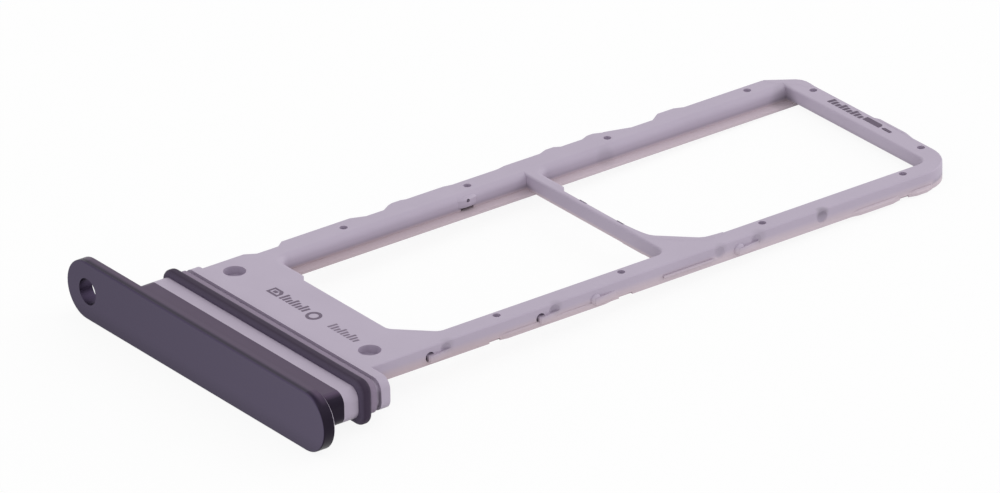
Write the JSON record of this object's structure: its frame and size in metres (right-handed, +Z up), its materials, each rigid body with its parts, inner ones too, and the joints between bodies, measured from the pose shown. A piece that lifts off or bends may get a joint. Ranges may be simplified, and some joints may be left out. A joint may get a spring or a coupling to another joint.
{
  "type": "sim card tray",
  "caption": "Slide-in card tray of a phone: a pill-shaped metal cap with an eject pin hole, a sealed neck and a thin moulded frame with card pockets one behind the other.",
  "frame": {"origin": "under the middle of the tray, level with the cap's lower edge", "axes": "+X from the cap to the tray's inner end, +Y along the cap towards the pin hole, +Z up, out of the card pockets"},
  "size_m": [0.0324, 0.0168, 0.0024],
  "materials": {
    "anodised_cap": "satin anodised, dark grey lilac",
    "moulded_tray": "fine satin moulding, pale grey lilac",
    "seal_rubber": "satin, dark grey"
  },
  "bodies": {
    "root": {"head_cap": "anodised_cap", "tray_frame": "moulded_tray", "seal_ring": "seal_rubber"}
  },
  "joints": []
}
